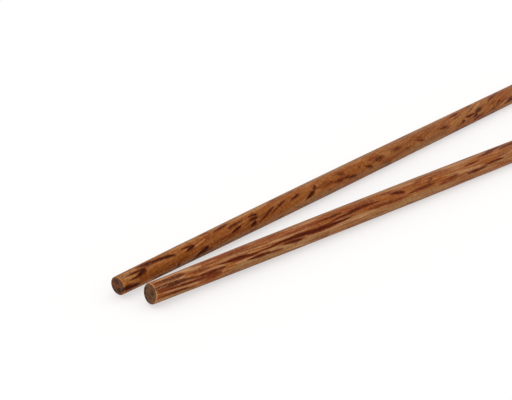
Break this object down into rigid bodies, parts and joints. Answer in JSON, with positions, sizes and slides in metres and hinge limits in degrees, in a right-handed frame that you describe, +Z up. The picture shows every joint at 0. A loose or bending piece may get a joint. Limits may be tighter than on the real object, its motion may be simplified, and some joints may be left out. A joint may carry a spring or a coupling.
{
  "type": "pair of wooden chopsticks",
  "caption": "Pair of round wooden chopsticks lying slightly apart: slim, flat-sawn tips swell gently into straight handles, in dark-streaked satin palm wood, for picking up food.",
  "frame": {"origin": "middle of the pair's footprint, on the surface that the sticks lie on", "axes": "+X from the tips to the handle ends, midway between the two sticks' headings; +Y from the front stick to the rear stick; +Z up"},
  "size_m": [0.2424, 0.0496, 0.007],
  "materials": {
    "front_palm_wood": "turned, sanded and oiled, satin",
    "rear_palm_wood": "turned, sanded and oiled, satin"
  },
  "bodies": {
    "root": {"front_chopstick": "front_palm_wood", "rear_chopstick": "rear_palm_wood"}
  },
  "joints": []
}
